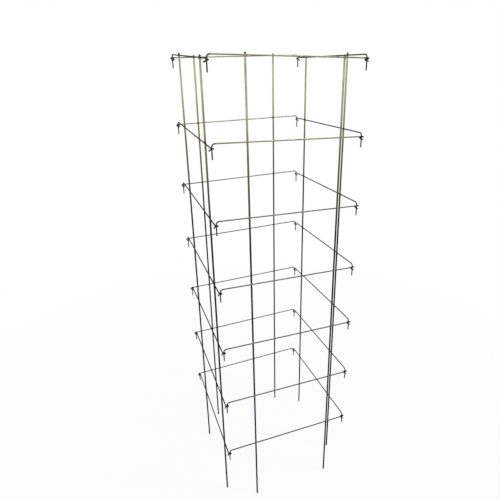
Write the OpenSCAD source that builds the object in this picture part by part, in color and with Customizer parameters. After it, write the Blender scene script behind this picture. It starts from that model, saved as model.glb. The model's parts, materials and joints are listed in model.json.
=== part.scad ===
// Square folding tomato cage: four welded wire panels that hook together with drop pins in pigtail eyes.
// Millimetres. The origin is on the ground at the middle of the cage, +Z is up and -Y is the front.

/* [Panel] */
// Distance between the hinge axes at the two ends of a panel
hinge_pitch = 430; // [320:1:600]
// Number of rails on a panel
rail_count = 7; // [2:1:12]
// Height from one rail to the next
rail_pitch = 203.2; // [120:0.1:260]
// Height of the lowest rail above the feet, at the middle of the rail
lowest_rail_z = 245; // [120:1:320]
// Height of the top of a leg above the axis of the top rail, where they cross
leg_stub = 6.5; // [4:0.1:30]

/* [Wires] */
// Diameter of the leg wire
leg_d = 5.3; // [4:0.1:7]
// Diameter of the rail wire
rail_d = 3.6; // [2.8:0.1:4.6]
// Distance along a panel from its pin axis to the nearer leg
pin_leg_inset = 94; // [60:1:130]
// Distance along a panel from its eye axis to the nearer leg
eye_leg_inset = 67; // [45:1:130]
// Depth to which a leg is sunk into each rail at the weld
weld_sink = 0.5; // [0.2:0.1:0.8]
// Bevel on the edge of a cut wire end
cut_bevel = 0.4; // [0.2:0.1:0.8]
// Loss of diameter where the rail wire is stretched round a bend
bend_thinning = 0.04; // [0.02:0.01:0.1]

/* [Hinges] */
// Fall of a rail from its pin to its eye, which lets each pin sit above the eye that it drops into
rail_fall = 9; // [8:0.5:16]
// Length of a pin below the axis of its rail
pin_len = 40; // [32:1:60]
// Radius of the bend from rail to pin, at the axis of the wire
bend_r = 9; // [7:0.5:13]
// Radial clearance of a pin in an eye
pin_play = 0.4; // [0.3:0.1:0.9]
// Drop of the eye in one full turn
eye_drop = 7; // [6:0.5:10]
// Angle that the wire turns through to form the eye
eye_angle = 315; // [270:5:345]
// Length of the straight stretch halfway round the eye
eye_flat = 0.8; // [0.6:0.1:2]
// Length of the straight tail after the eye
tail_len = 7; // [5:1:18]

/* [Hidden] */
$fn = 48;
PANELS = ["front", "right", "back", "left"];

leg_color = [0.30, 0.30, 0.29];
rail_color = [0.52, 0.53, 0.50];
quarter_turn = 90;
half_turn = 180;

// Each bend runs on through this angle inside the straight stretches at its ends
bend_lap = 2;

// The wire passes outside the pin, so the axis of the eye lies inside the line of the rail
eye_r = rail_d + pin_play;
rail_run = sqrt(pow(hinge_pitch, 2) - pow(eye_r, 2));
panel_yaw = asin(eye_r / hinge_pitch);
rail_slope = atan(rail_fall / rail_run);

// The bend turns the sloping rail into a plumb pin on the hinge axis, and starts this far along the rail
bend_turn = quarter_turn + rail_slope;
bend_start = bend_r * tan(bend_turn / 2);

// The eye is square to the rail, and the middle of its drop is on the hinge axis
rail_len = (rail_run + eye_drop / 2 * sin(rail_slope)) / cos(rail_slope);

// Each half turn of the eye is an arc in a plane that leans down across the rail
eye_lean = atan(eye_drop / (4 * eye_r));
eye_arc_r = eye_r / cos(eye_lean);

// The legs stand inside the rails, and each rail has a shallow seat for each leg
leg_axis_y = (leg_d + rail_d) / 2 - weld_sink;
seat_h = 3 * rail_d;

// Height of a rail's axis at its pin, counting rails down from the top
function rail_z(n) = lowest_rail_z + (rail_count - n) * rail_pitch + rail_fall / 2;

// Place along the rail of the leg near the pin and the leg near the eye
function leg_x(side) = side == "left" ? pin_leg_inset : rail_run - eye_leg_inset;

// Height of a rail's axis where it crosses a leg
function weld_z(n, side) = rail_z(n) - leg_x(side) * tan(rail_slope);

// Frame of one panel: the pin axis is the origin, +X runs along the rails to the eye and +Y points into the cage
module in_panel(index) {
    rotate([0, 0, quarter_turn * index])
        translate([-hinge_pitch / 2, -hinge_pitch / 2, 0])
            rotate([0, 0, -panel_yaw])
                children();
}

// Straight wire along +Z with its far end cut and bevelled
module cut_wire(length, diameter) {
    cylinder(h = length - cut_bevel, d = diameter);
    translate([0, 0, length - cut_bevel])
        cylinder(h = cut_bevel, d1 = diameter, d2 = diameter - 2 * cut_bevel);
}

// Lays a wire that was drawn along +Z along +X
module along_x() {
    rotate([0, quarter_turn, 0])
        children();
}

// Arc of rail wire in the XY plane that leaves the origin along +X and turns towards +Y
module wire_arc(radius, angle) {
    translate([0, radius, 0])
        rotate([0, 0, -quarter_turn - bend_lap])
            rotate_extrude(angle = angle + 2 * bend_lap)
                translate([radius, 0])
                    circle(d = rail_d - bend_thinning);
}

// Arc of rail wire that runs out into a straight cut end
module bent_end(radius, angle, length) {
    wire_arc(radius, angle);
    translate([0, radius, 0])
        rotate([0, 0, angle])
            translate([0, -radius, 0])
                along_x()
                    cut_wire(length, rail_d);
}

// Drop pin: the end of the rail bent over until it hangs plumb, drawn from where the bend leaves the rail
module drop_pin() {
    rotate([quarter_turn, half_turn, 0])
        bent_end(bend_r, bend_turn, pin_len - bend_start);
}

// Pigtail eye: the rail curls down and round the neighbour's pin, then runs out under itself as a short tail
module pigtail_eye() {
    translate([eye_flat / 2, 0, 0])
        rotate([-eye_lean, 0, 0]) {
            wire_arc(eye_arc_r, half_turn);
            translate([0, 2 * eye_arc_r, 0])
                rotate([-2 * eye_lean, 0, half_turn]) {
                    along_x()
                        cylinder(h = eye_flat, d = rail_d);
                    translate([eye_flat, 0, 0])
                        bent_end(eye_arc_r, eye_angle - half_turn, tail_len);
                }
        }
}

// Leg: one straight wire whose lower end is pushed into the ground as far as the lowest rail
module leg(index, side) {
    half_h = (weld_z(1, side) + leg_stub) / 2;
    color(leg_color)
        in_panel(index)
            translate([leg_x(side), leg_axis_y, half_h])
                for (end = [0, half_turn])
                    rotate([end, 0, 0])
                        cut_wire(half_h, leg_d);
}

// Rail: one wire with a drop pin at the left end and a pigtail eye at the right end, seated on both legs
module rail(index, n) {
    color(rail_color)
        in_panel(index)
            translate([0, 0, rail_z(n)])
                difference() {
                    rotate([0, rail_slope, 0]) {
                        translate([bend_start, 0, 0]) {
                            drop_pin();
                            along_x()
                                cylinder(h = rail_len - bend_start + eye_flat / 2, d = rail_d);
                        }
                        translate([rail_len, 0, 0])
                            pigtail_eye();
                    }
                    for (side = ["left", "right"])
                        translate([leg_x(side), leg_axis_y, weld_z(n, side) - rail_z(n)])
                            cylinder(h = seat_h, d = leg_d, center = true);
                }
}

for (index = [0 : len(PANELS) - 1]) {
    for (side = ["left", "right"])
        leg(index, side);
    for (n = [1 : rail_count])
        rail(index, n);
}
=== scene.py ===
"""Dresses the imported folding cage: wire finish, weld beads, studio and camera. Metres, +Z up, -Y front."""

import json
import math
from typing import NamedTuple

import bpy
from bpy.props import FloatProperty, FloatVectorProperty, IntProperty, PointerProperty
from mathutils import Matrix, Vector


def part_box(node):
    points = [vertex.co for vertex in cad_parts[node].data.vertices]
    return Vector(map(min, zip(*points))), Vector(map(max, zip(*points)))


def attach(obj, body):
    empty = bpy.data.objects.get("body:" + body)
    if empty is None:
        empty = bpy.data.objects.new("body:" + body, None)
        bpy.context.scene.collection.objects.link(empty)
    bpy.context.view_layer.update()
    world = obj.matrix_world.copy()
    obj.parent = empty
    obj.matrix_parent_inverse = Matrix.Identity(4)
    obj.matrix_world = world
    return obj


bl_info = {
    "name": "Folding wire cage",
    "version": (1, 0, 0),
    "blender": (4, 5, 0),
    "location": "View3D > Sidebar > Cage",
    "description": "Finishes the wires of a folding plant cage, lays its weld beads and sets up a studio",
    "category": "Object",
}

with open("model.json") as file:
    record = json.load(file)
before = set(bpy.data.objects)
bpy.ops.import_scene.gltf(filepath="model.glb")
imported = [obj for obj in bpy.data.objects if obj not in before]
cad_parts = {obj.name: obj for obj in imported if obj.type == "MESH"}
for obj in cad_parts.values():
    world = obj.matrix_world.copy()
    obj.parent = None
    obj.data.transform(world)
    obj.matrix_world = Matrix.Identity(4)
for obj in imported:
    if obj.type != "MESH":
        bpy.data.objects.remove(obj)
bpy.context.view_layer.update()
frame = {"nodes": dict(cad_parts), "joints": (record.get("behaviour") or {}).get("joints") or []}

MM = 0.001
PANELS = ("front", "right", "back", "left")
SIDES = ("left", "right")
RAIL_COUNT = sum(name.startswith("front_panel_rail_") for name in frame["nodes"])
QUARTER_TURN = math.pi / 2
FULL_TURN = 2 * math.pi

# Coordinate that runs along a rail of the front panel, and the one that runs up along a leg
RAIL_AXIS = 0
UP_AXIS = 2

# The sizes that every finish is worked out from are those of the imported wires
LEG_LOW, LEG_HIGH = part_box("front_panel_left_leg")
LEG_HEIGHT = LEG_HIGH.z - LEG_LOW.z
LEG_RADIUS = (LEG_HIGH.x - LEG_LOW.x) / 2

# Vertices of a rail within this many radii of a leg's axis are those of its seat for the leg
SEAT_REACH = 1.2

# Sockets of a Mix node that lays one colour over another: the share of the upper one, both, and the result
MIX_SHARE = 0
MIX_UNDER = 6
MIX_OVER = 7
MIX_RESULT = 2

# Middle of a noise pattern, and where a new stop of a colour ramp stands until it is given its place
NOISE_MIDDLE = 0.5
NEW_STOP = 0.5

# Shares of the legs' height at which the zinc has each tone of its painted light and shade
FOOT_LEVEL = 0.13
LOWER_LEVEL = 0.22
MIDDLE_LEVELS = (0.46, 0.66)
UPPER_LEVEL = 0.83
TOP_LEVEL = 0.93

# Weathered patches, which are as coarse as they need to be to show in the render
PATCH_WIDTH = 9 * MM
PATCH_LENGTH = 45 * MM
PATCH_DETAIL = 3.0
PATCH_NOISE = (0.3, 0.7)
PATCH_CONTRAST = 0.28

# Grains of zinc spangle
SPANGLE_SIZE = 3 * MM
SPANGLE_CONTRAST = 0.16

# The painted sky light is full where a surface faces up this much, and turns olive between these
# shares of the height
SKY_LIGHT_FULL = 0.9
SKY_LIGHT_OLIVE_LEVELS = (0.70, 0.85)

# Fine noise that gives the marks next to the welds and the darker ends a ragged edge
RAGGED_SIZE = 2.5 * MM
RAGGED_DETAIL = 2.0

# Marks next to the welds, painted highlights on rails and heat tint with painted shade on legs, and the
# shares of their reach that they run to where they are shortest and longest
MARK_COVER = 0.9
MARK_SPREAD = (0.4, 1.6)

# Lengths of wire that are darker at a cut end and at a hinge, and the width of the ragged edge of the dark
CUT_END_DARK = 9 * MM
HINGE_DARK = 12 * MM
DARK_END_EDGE = 8 * MM
DARK_END_COVER = 0.9

# The dark ends go from their darkest tone to that of their paler spots over this stretch of the fine noise
PALE_SPOT_NOISE = (0.35, 0.7)
PALE_SPOT_TONES = (0.5, 6.0)

# Lines from the drawing die. Real ones are far finer, and these are drawn coarser so that they show
DIE_LINE_GAP = 0.5 * MM
DIE_LINE_LENGTH = 40 * MM
DIE_LINE_DETAIL = 2.0
DIE_LINE_SHARE = 0.6

# Relief of the patches and the die lines together
SURFACE_DEPTH = 0.15 * MM
SURFACE_BUMP = 0.5
SURFACE_RANGE = (0.4, 1.2)

# Differences of roughness from the middle one, where the zinc is smoothest and roughest, and at the dark
# ends
SMOOTH_ZINC = -0.14
ROUGH_ZINC = 0.16
ROUGH_DARK_END = 0.22

# Oxide takes the shine off the zinc at a grazing angle, so the edges of a wire stay dark
OXIDE_GLOSS = 0.1
EDGE_TINT = (0.2, 0.2, 0.2, 1.0)

# Ball that a weld bead is formed from
BALL_RADIUS = 0.5
BALL_SUBDIVISIONS = 4
LUMP_DETAIL = 2.0

# Least and greatest size of a bead, as shares of the size set along the rail, across it and along the leg
LEAST_BEAD = (0.85, 0.9, 0.8)
GREATEST_BEAD = (1.12, 1.1, 1.15)

# Finish of a bead, from its hollows to its bright spots
BEAD_NOISE = (0.3, 0.75)
BEAD_DETAIL = 4.0
BEAD_TONES = (0.6, 2.2)
BEAD_ROUGHNESS = (0.75, 0.4)
BEAD_RELIEF = 0.2 * MM
BEAD_BUMP = 0.6

# Light that shows as plain white
WHITE = (1.0, 1.0, 1.0, 1.0)
WHITE_STRENGTH = 1.0

# Floor in metres. This share of it is plain white up to the nearer distance, and all of it past the farther
FLOOR_RADIUS = 60.0
FLOOR_CORNERS = 96
FLOOR_NEAR = 0.4
FLOOR_FAR = 2.2
FLOOR_NEAR_WHITE = 0.88

# Place and width of each lamp in metres
KEY_PLACE = (1.3, -1.0, 4.4)
KEY_WIDTH = 0.6
FILL_PLACE = (-2.6, -2.4, 2.6)
FILL_WIDTH = 1.6

# Side of the square frame in pixels, its middle as a share of it, and width of the sensor in millimetres
FRAME_PIXELS = 500
FRAME_MIDDLE = 0.5
SENSOR_WIDTH = 36.0


class Wire(NamedTuple):
    """What sets the finish of one wire apart from that of the others."""

    # Coordinate that runs along the wire, and turn of its panel
    axis: int
    turn: float
    # How light the wire is, as painted light and shade from panel to panel, and its colour of painted shade
    # just above the lowest rails and of painted light at the top of the cage
    tone: float
    shaded_lower_zinc: tuple
    lit_top_zinc: tuple
    # Places of its welds along the wire, and their pitch, or 0 where they don't repeat
    welds: tuple
    weld_pitch: float
    # Colour next to each weld, a pale painted highlight on a rail and a dark heat tint with painted shade
    # on a leg, and how far it runs along the wire
    mark: tuple
    mark_reach: float
    # Where along the wire the dark starts and where it is full, from the middle of the panel or the foot
    dark_end_span: tuple


def linear(code):
    """Linear colour of an sRGB hex value."""
    parts = [int(code[i:i + 2], 16) / 255 for i in (1, 3, 5)]
    return tuple(c / 12.92 if c <= 0.04045 else ((c + 0.055) / 1.055) ** 2.4 for c in parts)


def opaque(colour):
    """Colour of a property as the four numbers that a node's socket takes."""
    return (*colour, 1.0)


def add_node(tree, kind, inputs=None, **settings):
    """Adds a node, gives it its settings, and fills each input named or numbered with a value or a link."""
    node = tree.nodes.new(kind)
    for key, value in settings.items():
        setattr(node, key, value)
    for key, value in (inputs or {}).items():
        if isinstance(value, bpy.types.NodeSocket):
            tree.links.new(value, node.inputs[key])
        else:
            node.inputs[key].default_value = value
    return node


def leg_axis(panel, side):
    """Middle of a leg."""
    low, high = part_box(f"{panel}_panel_{side}_leg")
    return (low + high) / 2


def weld_centre(panel, side, rail):
    """Middle of the seat that a rail has for a leg, found from the rail's vertices near the leg's axis."""
    axis = leg_axis(panel, side)
    vertices = frame["nodes"][f"{panel}_panel_rail_{rail}"].data.vertices
    seat = [v.co for v in vertices if (v.co.xy - axis.xy).length < LEG_RADIUS * SEAT_REACH]
    if not seat:
        raise RuntimeError(f"rail {rail} of the {panel} panel has no seat for its {side} leg")
    low = Vector(min(co[i] for co in seat) for i in range(3))
    high = Vector(max(co[i] for co in seat) for i in range(3))
    return (low + high) / 2


def panel_turn(panel):
    """Angle that a panel is turned about +Z from the front."""
    return PANELS.index(panel) * QUARTER_TURN


def new_material(name):
    """Empty node material and its tree."""
    material = bpy.data.materials.new(name)
    material.use_nodes = True
    material.node_tree.nodes.clear()
    return material, material.node_tree


class CageWireSettings(bpy.types.PropertyGroup):
    """Finish of the leg and rail wires, with light and shade painted into their colour."""

    # The zinc tones by height are painted light and shade: light olive at the top and dark below
    lit_top_zinc: FloatVectorProperty(
        name="Top zinc", description="Light olive zinc at the tops of the legs",
        subtype="COLOR", min=0.0, max=1.0, default=linear("#abaa86"))
    lit_top_rail_zinc: FloatVectorProperty(
        name="Top rail zinc", description="Olive zinc on the top rails",
        subtype="COLOR", min=0.0, max=1.0, default=linear("#7a7757"))
    shaded_upper_zinc: FloatVectorProperty(
        name="Upper zinc", description="Darker olive zinc just below the second rails",
        subtype="COLOR", min=0.0, max=1.0, default=linear("#6f6d45"))
    shaded_middle_zinc: FloatVectorProperty(
        name="Middle zinc", description="Darkened zinc round the middle of the cage",
        subtype="COLOR", min=0.0, max=1.0, default=linear("#181918"))
    shaded_lower_zinc: FloatVectorProperty(
        name="Lower zinc", description="Bluish zinc on the legs above the lowest rails",
        subtype="COLOR", min=0.0, max=1.0, default=linear("#16284a"))
    shaded_lower_rail_zinc: FloatVectorProperty(
        name="Lower rail zinc", description="Grey zinc on the two lowest rails of each panel",
        subtype="COLOR", min=0.0, max=1.0, default=linear("#26282b"))
    # Darkest tone of the painted shade, at the feet
    shaded_foot_zinc: FloatVectorProperty(
        name="Foot zinc", description="Zinc stained by soil at the feet",
        subtype="COLOR", min=0.0, max=1.0, default=linear("#050a14"))
    # Painted sky light: a paler colour on the upper side of the wires, where light from above falls
    painted_sky_light: FloatVectorProperty(
        name="Bloom", description="Pale bloom of weathered zinc on the upper side of the lower rails",
        subtype="COLOR", min=0.0, max=1.0, default=linear("#a2a39b"))
    # Olive painted sky light on the upper side of the top rails
    painted_top_sky_light: FloatVectorProperty(
        name="Top bloom", description="Pale olive bloom on the upper side of the first and second rails",
        subtype="COLOR", min=0.0, max=1.0, default=linear("#a6a68d"))
    painted_sky_light_cover: FloatVectorProperty(
        name="Bloom cover", description="Share of the upper side that is pale, at the feet and at the top",
        size=2, min=0.0, max=1.0, default=(0.0, 0.65))
    # Painted light and shade by panel: lit and shaded copies of the rail finish, darkest at left and right
    painted_panel_light: FloatVectorProperty(
        name="Panel tones", description="How light the rails are on the front, right, back and left panels",
        size=4, min=0.0, max=2.0, default=(1.0, 0.35, 1.2, 0.2))
    # Dark colour at the hinges and the cut ends, with paler spots
    dark_end_colour: FloatVectorProperty(
        name="Grime", description="Dark rubbed zinc at the hinges and the cut ends",
        subtype="COLOR", min=0.0, max=1.0, default=linear("#11100f"))
    # Dark tint next to each weld on a leg: partly heat tint, partly painted shade where a rail crosses
    weld_tint_and_shade: FloatVectorProperty(
        name="Scorch", description="Zinc burnt by the welding heat on a leg",
        subtype="COLOR", min=0.0, max=1.0, default=linear("#2a2724"))
    weld_tint_and_shade_reach: FloatProperty(
        name="Scorch reach", description="Distance that the burnt zinc runs along a leg from a weld",
        subtype="DISTANCE", unit="LENGTH", min=0.0, default=6 * MM)
    # Pale patch next to each weld on a rail: a painted highlight where the rail crosses a leg
    painted_weld_highlight: FloatVectorProperty(
        name="Electrode mark", description="Pale zinc that the welding electrode pressed smooth on a rail",
        subtype="COLOR", min=0.0, max=1.0, default=linear("#8a8a82"))
    painted_weld_highlight_reach: FloatProperty(
        name="Electrode reach", description="Distance that the pale zinc runs along a rail from a weld",
        subtype="DISTANCE", unit="LENGTH", min=0.0, default=4 * MM)
    roughness: FloatProperty(
        name="Roughness", description="Middle roughness of the dull zinc",
        subtype="FACTOR", min=0.0, max=1.0, default=0.34)
    metallic: FloatProperty(
        name="Metallic", description="How far the zinc is bare metal and not oxide",
        subtype="FACTOR", min=0.0, max=1.0, default=0.75)


class CageWeldSettings(bpy.types.PropertyGroup):
    """Flash that is squeezed out between a rail and a leg when they are spot welded."""

    width: FloatProperty(
        name="Width", description="Length of a bead along the rail",
        subtype="DISTANCE", unit="LENGTH", min=0.0, default=7.8 * MM)
    height: FloatProperty(
        name="Height", description="Length of a bead along the leg",
        subtype="DISTANCE", unit="LENGTH", min=0.0, default=6.4 * MM)
    depth: FloatProperty(
        name="Depth", description="Thickness of a bead between rail and leg",
        subtype="DISTANCE", unit="LENGTH", min=0.0, default=2.6 * MM)
    lumps: FloatProperty(
        name="Lumps", description="Height of the lumps on a bead",
        subtype="DISTANCE", unit="LENGTH", min=0.0, default=0.7 * MM)
    lump_size: FloatProperty(
        name="Lump size", description="Width of a lump on a bead",
        subtype="DISTANCE", unit="LENGTH", min=0.1 * MM, default=1.6 * MM)
    seed: IntProperty(name="Seed", description="Seed of the difference between beads", default=4)
    colour: FloatVectorProperty(
        name="Bead", description="Middle grey of the flash",
        subtype="COLOR", min=0.0, max=1.0, default=linear("#5c5b50"))
    metallic: FloatProperty(
        name="Metallic", description="How far the flash is bare metal and not scale",
        subtype="FACTOR", min=0.0, max=1.0, default=0.6)


class CageStudioSettings(bpy.types.PropertyGroup):
    """Floor, light and camera."""

    floor: FloatVectorProperty(
        name="Floor", description="Matt pale floor",
        subtype="COLOR", min=0.0, max=1.0, default=linear("#f6f6f4"))
    sky: FloatProperty(
        name="Sky", description="Strength of the even light from all round", min=0.0, default=0.60)
    key: FloatProperty(
        name="Key", description="Power of the key lamp overhead", subtype="POWER", unit="POWER",
        min=0.0, default=50.0)
    fill: FloatProperty(
        name="Fill", description="Power of the fill lamp", subtype="POWER", unit="POWER",
        min=0.0, default=12.0)
    camera_place: FloatVectorProperty(
        name="Camera", description="Place of the camera", subtype="TRANSLATION", unit="LENGTH",
        default=(-0.4813, -1.2789, 1.4614))
    camera_turn: FloatProperty(
        name="Turn", description="Turn of the camera from straight ahead", subtype="ANGLE", unit="ROTATION",
        default=math.radians(-22.84))
    camera_tilt: FloatProperty(
        name="Tilt", description="Tilt of the camera below level", subtype="ANGLE", unit="ROTATION",
        default=math.radians(22.58))
    focal_pixels: FloatProperty(
        name="Focal length", description="Focal length in pixels of the frame", min=1.0, default=439.7)
    centre_pixels: FloatVectorProperty(
        name="Lens centre", description="Where the lens axis meets the frame, in pixels from its top left",
        size=2, default=(279.9, 240.0))


def zinc_with_painted_light_by_height(tree, level, wire, settings):
    """Tone of the zinc by height: painted light at the top and painted shade below."""
    ramp = add_node(tree, "ShaderNodeValToRGB", {"Fac": level})
    tones = (
        (0.0, settings.shaded_foot_zinc), (FOOT_LEVEL, settings.shaded_foot_zinc), (LOWER_LEVEL, wire.shaded_lower_zinc),
        (MIDDLE_LEVELS[0], settings.shaded_middle_zinc), (MIDDLE_LEVELS[1], settings.shaded_middle_zinc),
        (UPPER_LEVEL, settings.shaded_upper_zinc), (TOP_LEVEL, wire.lit_top_zinc))
    stops = ramp.color_ramp.elements
    while len(stops) < len(tones):
        stops.new(NEW_STOP)
    for stop, (at, colour) in zip(stops, tones):
        stop.position = at
        stop.color = opaque(colour)
    return ramp.outputs[0]


def weathered_zinc(tree, in_panel, level, patches, wire, settings):
    """Zinc in its tone, which carries painted light and shade, with weathered patches, and spangle whose
    grains have a lighter or darker face.
    """
    patch_tone = add_node(
        tree, "ShaderNodeMapRange",
        {"Value": patches, "From Min": PATCH_NOISE[0], "From Max": PATCH_NOISE[1],
         "To Min": wire.tone * (1 - PATCH_CONTRAST), "To Max": wire.tone * (1 + PATCH_CONTRAST)}).outputs[0]
    base = zinc_with_painted_light_by_height(tree, level, wire, settings)
    patchy = add_node(
        tree, "ShaderNodeMix", {MIX_SHARE: 1.0, MIX_UNDER: base, MIX_OVER: patch_tone},
        data_type="RGBA", blend_type="MULTIPLY").outputs[MIX_RESULT]
    spangle = add_node(
        tree, "ShaderNodeTexVoronoi", {"Vector": in_panel, "Scale": 1 / SPANGLE_SIZE}, feature="F1")
    grain = add_node(tree, "ShaderNodeSeparateColor", {0: spangle.outputs["Color"]}).outputs[0]
    grain_tone = add_node(
        tree, "ShaderNodeMapRange",
        {"Value": grain, "To Min": 1 - SPANGLE_CONTRAST, "To Max": 1 + SPANGLE_CONTRAST}).outputs[0]
    return add_node(
        tree, "ShaderNodeMix", {MIX_SHARE: 1.0, MIX_UNDER: patchy, MIX_OVER: grain_tone},
        data_type="RGBA", blend_type="MULTIPLY").outputs[MIX_RESULT]


def painted_sky_light_over(tree, zinc, normal, level, wire, settings):
    """Painted sky light: a paler colour on what faces up, where light from above falls. There is less of it
    low down, and it is olive high up."""
    facing = add_node(tree, "ShaderNodeSeparateXYZ", {0: normal}).outputs[UP_AXIS]
    cover = add_node(
        tree, "ShaderNodeMapRange",
        {"Value": level, "To Min": settings.painted_sky_light_cover[0], "To Max": settings.painted_sky_light_cover[1]}).outputs[0]
    up = add_node(
        tree, "ShaderNodeMapRange", {"Value": facing, "From Max": SKY_LIGHT_FULL, "To Max": cover},
        interpolation_type="SMOOTHSTEP").outputs[0]
    high = add_node(
        tree, "ShaderNodeMapRange",
        {"Value": level, "From Min": SKY_LIGHT_OLIVE_LEVELS[0], "From Max": SKY_LIGHT_OLIVE_LEVELS[1]}).outputs[0]
    low_pale = opaque(wire.tone * channel for channel in settings.painted_sky_light)
    top_pale = opaque(wire.tone * channel for channel in settings.painted_top_sky_light)
    pale = add_node(
        tree, "ShaderNodeMix", {MIX_SHARE: high, MIX_UNDER: low_pale, MIX_OVER: top_pale},
        data_type="RGBA").outputs[MIX_RESULT]
    return add_node(
        tree, "ShaderNodeMix", {MIX_SHARE: up, MIX_UNDER: zinc, MIX_OVER: pale},
        data_type="RGBA").outputs[MIX_RESULT]


def weld_marks_and_painted_light_over(tree, zinc, along, ragged, wire):
    """Mark next to each weld, which reaches further in some places than in others. On a rail it is a painted
    highlight, and on a leg a heat tint with painted shade where the rail crosses it.
    """
    gap = None
    for weld in wire.welds:
        shifted = add_node(tree, "ShaderNodeMath", {0: along, 1: weld}, operation="SUBTRACT").outputs[0]
        if wire.weld_pitch:
            shifted = add_node(
                tree, "ShaderNodeMath", {0: shifted, 1: wire.weld_pitch / 2},
                operation="PINGPONG").outputs[0]
        else:
            shifted = add_node(tree, "ShaderNodeMath", {0: shifted}, operation="ABSOLUTE").outputs[0]
        gap = shifted if gap is None else add_node(
            tree, "ShaderNodeMath", {0: gap, 1: shifted}, operation="MINIMUM").outputs[0]
    shortest, longest = (share * wire.mark_reach for share in MARK_SPREAD)
    reach = add_node(
        tree, "ShaderNodeMapRange", {"Value": ragged, "To Min": shortest, "To Max": longest}).outputs[0]
    marked = add_node(
        tree, "ShaderNodeMapRange", {"Value": gap, "From Max": reach, "To Min": MARK_COVER, "To Max": 0.0},
        interpolation_type="SMOOTHSTEP").outputs[0]
    return add_node(
        tree, "ShaderNodeMix", {MIX_SHARE: marked, MIX_UNDER: zinc, MIX_OVER: opaque(wire.mark)},
        data_type="RGBA").outputs[MIX_RESULT]


def dark_end_share(tree, along, ragged, wire):
    """Share of each place that is darker: most at the hinges of a rail and the top of a leg."""
    from_middle = add_node(tree, "ShaderNodeMath", {0: along}, operation="ABSOLUTE").outputs[0]
    ragged_place = add_node(
        tree, "ShaderNodeMath", {0: ragged, 1: DARK_END_EDGE, 2: from_middle},
        operation="MULTIPLY_ADD").outputs[0]
    start, full = (place + DARK_END_EDGE * NOISE_MIDDLE for place in wire.dark_end_span)
    return add_node(
        tree, "ShaderNodeMapRange",
        {"Value": ragged_place, "From Min": start, "From Max": full, "To Max": DARK_END_COVER},
        interpolation_type="SMOOTHSTEP").outputs[0]


def dark_ends_over(tree, zinc, dark_share, ragged, settings):
    """Dark colour at the hinges and the cut ends, with paler spots."""
    spotted = add_node(
        tree, "ShaderNodeMapRange",
        {"Value": ragged, "From Min": PALE_SPOT_NOISE[0], "From Max": PALE_SPOT_NOISE[1],
         "To Min": PALE_SPOT_TONES[0], "To Max": PALE_SPOT_TONES[1]}).outputs[0]
    mottled = add_node(
        tree, "ShaderNodeMix", {MIX_SHARE: 1.0, MIX_UNDER: opaque(settings.dark_end_colour), MIX_OVER: spotted},
        data_type="RGBA", blend_type="MULTIPLY").outputs[MIX_RESULT]
    return add_node(
        tree, "ShaderNodeMix", {MIX_SHARE: dark_share, MIX_UNDER: zinc, MIX_OVER: mottled},
        data_type="RGBA").outputs[MIX_RESULT]


def drawn_out(tree, in_panel, axis, width, length):
    """Place and scale of a noise pattern that is drawn out along a wire."""
    stretch = [1.0, 1.0, 1.0]
    stretch[axis] = width / length
    stretched = add_node(tree, "ShaderNodeMapping", {"Vector": in_panel, "Scale": stretch}).outputs[0]
    return {"Vector": stretched, "Scale": 1 / width}


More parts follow.
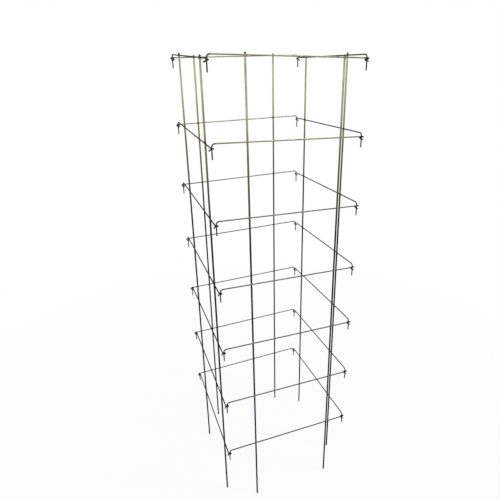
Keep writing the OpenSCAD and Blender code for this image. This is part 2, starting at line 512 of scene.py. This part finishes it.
def wire_finish(name, wire, settings):
    """Dull galvanised steel wire, cold drawn and hot dipped. Its zinc has a dull metal sheen and dark edges
    from its oxide. Its colour has painted light and shade: light olive at the top of the cage, dark below,
    paler on what faces up as painted sky light, and lighter or darker from panel to panel on the rails. It
    is blotchy from weathering, with fine lines along the wire from the drawing die. Next to each weld a leg
    has a dark heat tint with painted shade and a rail a pale painted highlight, and the wire is darker at
    the hinges and the cut ends."""
    material, tree = new_material(name)
    texture = add_node(tree, "ShaderNodeTexCoord").outputs
    in_panel = add_node(
        tree, "ShaderNodeMapping",
        {"Vector": texture["Object"], "Rotation": (0.0, 0.0, -wire.turn)}).outputs[0]
    place = add_node(tree, "ShaderNodeSeparateXYZ", {0: in_panel}).outputs
    along = place[wire.axis]
    level = add_node(
        tree, "ShaderNodeMapRange", {"Value": place[UP_AXIS], "From Max": LEG_HEIGHT}).outputs[0]

    patch_pattern = drawn_out(tree, in_panel, wire.axis, PATCH_WIDTH, PATCH_LENGTH)
    patches = add_node(
        tree, "ShaderNodeTexNoise", {**patch_pattern, "Detail": PATCH_DETAIL}).outputs["Fac"]
    ragged = add_node(
        tree, "ShaderNodeTexNoise",
        {"Vector": in_panel, "Scale": 1 / RAGGED_SIZE, "Detail": RAGGED_DETAIL}).outputs["Fac"]
    zinc = weathered_zinc(tree, in_panel, level, patches, wire, settings)
    # Paler colour on what faces up is painted sky light
    sky_lit = painted_sky_light_over(tree, zinc, texture["Normal"], level, wire, settings)
    marked = weld_marks_and_painted_light_over(tree, sky_lit, along, ragged, wire)
    dark_share = dark_end_share(tree, along, ragged, wire)
    colour = dark_ends_over(tree, marked, dark_share, ragged, settings)

    # The die lines stand on the patches, and what stands out is rougher
    line_pattern = drawn_out(tree, in_panel, wire.axis, DIE_LINE_GAP, DIE_LINE_LENGTH)
    die_lines = add_node(
        tree, "ShaderNodeTexNoise", {**line_pattern, "Detail": DIE_LINE_DETAIL}).outputs["Fac"]
    surface = add_node(
        tree, "ShaderNodeMath", {0: die_lines, 1: DIE_LINE_SHARE, 2: patches},
        operation="MULTIPLY_ADD").outputs[0]
    bump = add_node(
        tree, "ShaderNodeBump",
        {"Height": surface, "Strength": SURFACE_BUMP, "Distance": SURFACE_DEPTH}).outputs[0]
    zinc_roughness = add_node(
        tree, "ShaderNodeMapRange",
        {"Value": surface, "From Min": SURFACE_RANGE[0], "From Max": SURFACE_RANGE[1],
         "To Min": settings.roughness + SMOOTH_ZINC, "To Max": settings.roughness + ROUGH_ZINC}).outputs[0]
    roughness = add_node(
        tree, "ShaderNodeMath", {0: dark_share, 1: ROUGH_DARK_END, 2: zinc_roughness},
        operation="MULTIPLY_ADD").outputs[0]

    shader = add_node(
        tree, "ShaderNodeBsdfPrincipled",
        {"Base Color": colour, "Metallic": settings.metallic, "Specular IOR Level": OXIDE_GLOSS,
         "Specular Tint": EDGE_TINT, "Roughness": roughness, "Normal": bump})
    add_node(tree, "ShaderNodeOutputMaterial", {"Surface": shader.outputs[0]})
    return material


def bead_finish(settings):
    """Spot weld flash, steel and zinc squeezed out molten. It is a rough grey, dark in its hollows, with a
    few bright metal spots."""
    material, tree = new_material("spot weld flash")
    coordinates = add_node(tree, "ShaderNodeTexCoord").outputs["Object"]
    lumps = add_node(
        tree, "ShaderNodeTexNoise",
        {"Vector": coordinates, "Scale": 1 / settings.lump_size, "Detail": BEAD_DETAIL}).outputs["Fac"]
    tone = add_node(
        tree, "ShaderNodeMapRange",
        {"Value": lumps, "From Min": BEAD_NOISE[0], "From Max": BEAD_NOISE[1],
         "To Min": BEAD_TONES[0], "To Max": BEAD_TONES[1]}).outputs[0]
    colour = add_node(
        tree, "ShaderNodeMix", {MIX_SHARE: 1.0, MIX_UNDER: opaque(settings.colour), MIX_OVER: tone},
        data_type="RGBA", blend_type="MULTIPLY").outputs[MIX_RESULT]
    roughness = add_node(
        tree, "ShaderNodeMapRange",
        {"Value": lumps, "To Min": BEAD_ROUGHNESS[0], "To Max": BEAD_ROUGHNESS[1]}).outputs[0]
    bump = add_node(
        tree, "ShaderNodeBump",
        {"Height": lumps, "Strength": BEAD_BUMP, "Distance": BEAD_RELIEF}).outputs[0]
    shader = add_node(
        tree, "ShaderNodeBsdfPrincipled",
        {"Base Color": colour, "Metallic": settings.metallic, "Roughness": roughness, "Normal": bump})
    add_node(tree, "ShaderNodeOutputMaterial", {"Surface": shader.outputs[0]})
    return material


def dress(node_name, material):
    """Gives a CAD node a better material in every slot it has."""
    for slot in frame["nodes"][node_name].material_slots:
        slot.material = material


class CAGE_OT_dress_legs(bpy.types.Operator):
    """Finish the eight leg wires"""

    bl_idname = "cage.dress_legs"
    bl_label = "Dress the legs"

    def execute(self, context):
        settings = context.scene.cage_wire
        for side in SIDES:
            lowest_weld = weld_centre("front", side, RAIL_COUNT).z
            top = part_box(f"front_panel_{side}_leg")[1].z
            wire = Wire(
                axis=UP_AXIS, turn=0.0, tone=1.0,
                shaded_lower_zinc=settings.shaded_lower_zinc, lit_top_zinc=settings.lit_top_zinc,
                welds=(lowest_weld,), weld_pitch=weld_centre("front", side, RAIL_COUNT - 1).z - lowest_weld,
                # On a leg the dark tint at each weld is partly heat tint and partly painted shade
                mark=settings.weld_tint_and_shade, mark_reach=settings.weld_tint_and_shade_reach,
                dark_end_span=(top - CUT_END_DARK, top))
            material = wire_finish(f"dull galvanised steel, {side} leg wire", wire, settings)
            for panel in PANELS:
                dress(f"{panel}_panel_{side}_leg", material)
        return {"FINISHED"}


class CAGE_OT_dress_rails(bpy.types.Operator):
    """Finish the twenty-eight rail wires with their pins and eyes"""

    bl_idname = "cage.dress_rails"
    bl_label = "Dress the rails"

    def execute(self, context):
        settings = context.scene.cage_wire

        # Each panel has its hinges this far from its middle, and its welds at these places
        hinge = frame["joints"][0]["pos_m"][RAIL_AXIS]
        welds = tuple(weld_centre("front", side, 1).x for side in SIDES)
        # The rails of each panel are a copy of the finish with its own level of painted light and shade
        for panel, tone in zip(PANELS, settings.painted_panel_light):
            wire = Wire(
                axis=RAIL_AXIS, turn=panel_turn(panel), tone=tone,
                shaded_lower_zinc=settings.shaded_lower_rail_zinc, lit_top_zinc=settings.lit_top_rail_zinc,
                welds=welds, weld_pitch=0.0,
                # On a rail the pale patch at each weld is a painted highlight
                mark=settings.painted_weld_highlight, mark_reach=settings.painted_weld_highlight_reach,
                dark_end_span=(hinge - HINGE_DARK, hinge - HINGE_DARK / 2))
            material = wire_finish(f"dull galvanised steel, {panel} rail wire", wire, settings)
            for rail in range(1, RAIL_COUNT + 1):
                dress(f"{panel}_panel_rail_{rail}", material)
        return {"FINISHED"}


def bead_tree():
    """Geometry Nodes that lay one lumpy, flattened bead on each weld point."""
    tree = bpy.data.node_groups.new("weld beads", "GeometryNodeTree")
    face = tree.interface
    face.new_socket("Weld points", in_out="INPUT", socket_type="NodeSocketGeometry")
    for name in ("Width", "Height", "Depth", "Lumps", "Lump size", "Panel turn"):
        face.new_socket(name, in_out="INPUT", socket_type="NodeSocketFloat")
    face.new_socket("Seed", in_out="INPUT", socket_type="NodeSocketInt")
    face.new_socket("Material", in_out="INPUT", socket_type="NodeSocketMaterial")
    face.new_socket("Beads", in_out="OUTPUT", socket_type="NodeSocketGeometry")
    given = add_node(tree, "NodeGroupInput").outputs

    # A ball one unit across is stretched to the size of a bead, which differs a little from weld to weld
    ball = add_node(
        tree, "GeometryNodeMeshIcoSphere",
        {"Radius": BALL_RADIUS, "Subdivisions": BALL_SUBDIVISIONS}).outputs[0]
    size = add_node(
        tree, "ShaderNodeCombineXYZ", {0: given["Width"], 1: given["Depth"], 2: given["Height"]}).outputs[0]
    spread = add_node(
        tree, "FunctionNodeRandomValue",
        {0: LEAST_BEAD, 1: GREATEST_BEAD, "Seed": given["Seed"]}, data_type="FLOAT_VECTOR").outputs[0]
    bead_size = add_node(
        tree, "ShaderNodeVectorMath", {0: size, 1: spread}, operation="MULTIPLY").outputs[0]
    turn = add_node(tree, "ShaderNodeCombineXYZ", {UP_AXIS: given["Panel turn"]}).outputs[0]
    laid = add_node(
        tree, "GeometryNodeInstanceOnPoints",
        {"Points": given["Weld points"], "Instance": ball, "Rotation": turn, "Scale": bead_size}).outputs[0]
    solid = add_node(tree, "GeometryNodeRealizeInstances", {0: laid}).outputs[0]

    # The lumps stand out along the bead's own surface, and no two beads are alike
    fineness = add_node(
        tree, "ShaderNodeMath", {0: 1.0, 1: given["Lump size"]}, operation="DIVIDE").outputs[0]
    noise = add_node(tree, "ShaderNodeTexNoise", {"Scale": fineness, "Detail": LUMP_DETAIL}).outputs[0]
    centred = add_node(tree, "ShaderNodeMath", {0: noise, 1: NOISE_MIDDLE}, operation="SUBTRACT").outputs[0]
    swell = add_node(
        tree, "ShaderNodeMath", {0: centred, 1: given["Lumps"]}, operation="MULTIPLY").outputs[0]
    normal = add_node(tree, "GeometryNodeInputNormal").outputs[0]
    offset = add_node(
        tree, "ShaderNodeVectorMath", {0: normal, "Scale": swell}, operation="SCALE").outputs[0]
    lumpy = add_node(tree, "GeometryNodeSetPosition", {"Geometry": solid, "Offset": offset}).outputs[0]
    smooth = add_node(tree, "GeometryNodeSetShadeSmooth", {"Geometry": lumpy}).outputs[0]
    finished = add_node(
        tree, "GeometryNodeSetMaterial", {"Geometry": smooth, "Material": given["Material"]}).outputs[0]
    add_node(tree, "NodeGroupOutput", {0: finished})
    return tree


class CAGE_OT_lay_weld_beads(bpy.types.Operator):
    """Lay the flash of the fifty-six spot welds, one mesh for each panel"""

    bl_idname = "cage.lay_weld_beads"
    bl_label = "Lay the weld beads"

    def execute(self, context):
        settings = context.scene.cage_weld
        material = bead_finish(settings)
        tree = bead_tree()
        identifiers = {item.name: item.identifier for item in tree.interface.items_tree}
        for index, panel in enumerate(PANELS):
            points = [
                weld_centre(panel, side, rail) for side in SIDES for rail in range(1, RAIL_COUNT + 1)]
            mesh = bpy.data.meshes.new("weld points")
            mesh.from_pydata(points, [], [])
            holder = bpy.data.objects.new("weld points", mesh)
            context.scene.collection.objects.link(holder)
            modifier = holder.modifiers.new("weld beads", "NODES")
            modifier.node_group = tree
            values = {
                "Width": settings.width, "Height": settings.height, "Depth": settings.depth,
                "Lumps": settings.lumps, "Lump size": settings.lump_size,
                "Panel turn": panel_turn(panel), "Seed": settings.seed + index, "Material": material}
            for name, value in values.items():
                modifier[identifiers[name]] = value
            made = bpy.data.meshes.new_from_object(
                holder.evaluated_get(context.evaluated_depsgraph_get()))
            holder.modifiers.remove(modifier)
            bpy.data.objects.remove(holder)
            bead = bpy.data.objects.new(f"{panel}_panel_weld_beads", made)
            context.scene.collection.objects.link(bead)
            if not made.polygons:
                raise RuntimeError(f"no weld beads were made on the {panel} panel")
            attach(bead, f"{panel}_panel")
        return {"FINISHED"}


class CAGE_OT_build_studio(bpy.types.Operator):
    """Set up the floor, the light and the camera"""

    bl_idname = "cage.build_studio"
    bl_label = "Build the studio"

    def execute(self, context):
        settings = context.scene.cage_studio
        scene = context.scene
        scene.view_settings.view_transform = "Standard"
        self.lay_floor(scene, settings)
        self.light(scene, settings)
        self.set_camera(scene, settings)
        return {"FINISHED"}

    def lay_floor(self, scene, settings):
        """Large round floor, a shade off white near the cage and white far off, so it has no horizon."""
        angles = [FULL_TURN * i / FLOOR_CORNERS for i in range(FLOOR_CORNERS)]
        ring = [(FLOOR_RADIUS * math.cos(angle), FLOOR_RADIUS * math.sin(angle), 0.0) for angle in angles]
        mesh = bpy.data.meshes.new("studio_floor")
        mesh.from_pydata(ring, [], [range(FLOOR_CORNERS)])
        floor = bpy.data.objects.new("studio_floor", mesh)
        scene.collection.objects.link(floor)

        # Matt painted floor: even and pale, and it keeps the cage's soft shadow, faintly
        material, tree = new_material("matt pale floor paint")
        coordinates = add_node(tree, "ShaderNodeTexCoord").outputs["Object"]
        distance = add_node(
            tree, "ShaderNodeVectorMath", {0: coordinates}, operation="LENGTH").outputs["Value"]
        far = add_node(
            tree, "ShaderNodeMapRange",
            {"Value": distance, "From Min": FLOOR_NEAR, "From Max": FLOOR_FAR, "To Min": FLOOR_NEAR_WHITE},
            interpolation_type="SMOOTHSTEP").outputs[0]
        seen = self.seen_ray(tree)
        white = add_node(tree, "ShaderNodeMath", {0: far, 1: seen}, operation="MULTIPLY").outputs[0]
        paint = add_node(tree, "ShaderNodeBsdfDiffuse", {"Color": opaque(settings.floor)}).outputs[0]
        glow = add_node(
            tree, "ShaderNodeEmission", {"Color": WHITE, "Strength": WHITE_STRENGTH}).outputs[0]
        surface = add_node(tree, "ShaderNodeMixShader", {0: white, 1: paint, 2: glow}).outputs[0]
        add_node(tree, "ShaderNodeOutputMaterial", {"Surface": surface})
        mesh.materials.append(material)

    def seen_ray(self, tree):
        """1 for a ray that shows the background to the camera, directly, in metal or through glass."""
        rays = add_node(tree, "ShaderNodeLightPath").outputs
        either = add_node(
            tree, "ShaderNodeMath", {0: rays["Is Camera Ray"], 1: rays["Is Glossy Ray"]},
            operation="MAXIMUM").outputs[0]
        return add_node(
            tree, "ShaderNodeMath", {0: either, 1: rays["Is Transmission Ray"]},
            operation="MAXIMUM").outputs[0]

    def light(self, scene, settings):
        """Even white surroundings, a key lamp overhead at the right and a wider, weaker one at the left."""
        world = bpy.data.worlds.new("white studio")
        world.use_nodes = True
        tree = world.node_tree
        tree.nodes.clear()
        strength = add_node(
            tree, "ShaderNodeMapRange",
            {"Value": self.seen_ray(tree), "To Min": settings.sky, "To Max": WHITE_STRENGTH}).outputs[0]
        glow = add_node(tree, "ShaderNodeBackground", {"Color": WHITE, "Strength": strength}).outputs[0]
        add_node(tree, "ShaderNodeOutputWorld", {"Surface": glow})
        scene.world = world

        middle = Vector((0.0, 0.0, LEG_HEIGHT / 2))
        lamps = (
            ("key lamp", KEY_PLACE, KEY_WIDTH, settings.key),
            ("fill lamp", FILL_PLACE, FILL_WIDTH, settings.fill))
        for name, place, width, power in lamps:
            lamp = bpy.data.lights.new(name, "AREA")
            lamp.shape = "SQUARE"
            lamp.size = width
            lamp.energy = power
            holder = bpy.data.objects.new(name, lamp)
            holder.location = place
            holder.rotation_euler = (middle - Vector(place)).to_track_quat("-Z", "Y").to_euler()
            scene.collection.objects.link(holder)

    def set_camera(self, scene, settings):
        """Camera about level with the top rails, looking down into the cage."""
        data = bpy.data.cameras.new("camera")
        data.sensor_width = SENSOR_WIDTH
        data.lens = SENSOR_WIDTH * settings.focal_pixels / FRAME_PIXELS
        data.shift_x = FRAME_MIDDLE - settings.centre_pixels[0] / FRAME_PIXELS
        data.shift_y = settings.centre_pixels[1] / FRAME_PIXELS - FRAME_MIDDLE
        camera = bpy.data.objects.new("camera", data)
        camera.location = settings.camera_place
        camera.rotation_euler = (QUARTER_TURN - settings.camera_tilt, 0.0, settings.camera_turn)
        scene.collection.objects.link(camera)
        scene.camera = camera


class CAGE_PT_sidebar(bpy.types.Panel):
    """Sizes, colours and steps of the cage"""

    bl_idname = "CAGE_PT_sidebar"
    bl_label = "Folding wire cage"
    bl_space_type = "VIEW_3D"
    bl_region_type = "UI"
    bl_category = "Cage"

    def draw(self, context):
        layout = self.layout
        for group in (context.scene.cage_wire, context.scene.cage_weld, context.scene.cage_studio):
            box = layout.box()
            for name in group.__annotations__:
                box.prop(group, name)
        for operator in OPERATORS:
            layout.operator(operator.bl_idname)


GROUPS = {"cage_wire": CageWireSettings, "cage_weld": CageWeldSettings, "cage_studio": CageStudioSettings}
OPERATORS = (CAGE_OT_dress_legs, CAGE_OT_dress_rails, CAGE_OT_lay_weld_beads, CAGE_OT_build_studio)


def register():
    """Registers the settings, the operators and the panel."""
    for item in (*GROUPS.values(), *OPERATORS, CAGE_PT_sidebar):
        bpy.utils.register_class(item)
    for name, group in GROUPS.items():
        setattr(bpy.types.Scene, name, PointerProperty(type=group))


def unregister():
    """Takes the panel, the operators and the settings away again."""
    for name in GROUPS:
        delattr(bpy.types.Scene, name)
    for item in reversed((*GROUPS.values(), *OPERATORS, CAGE_PT_sidebar)):
        bpy.utils.unregister_class(item)


def main():
    """Dresses the cage step by step."""
    register()
    bpy.ops.cage.dress_legs()
    bpy.ops.cage.dress_rails()
    bpy.ops.cage.lay_weld_beads()
    bpy.ops.cage.build_studio()


if __name__ == "__main__":
    main()
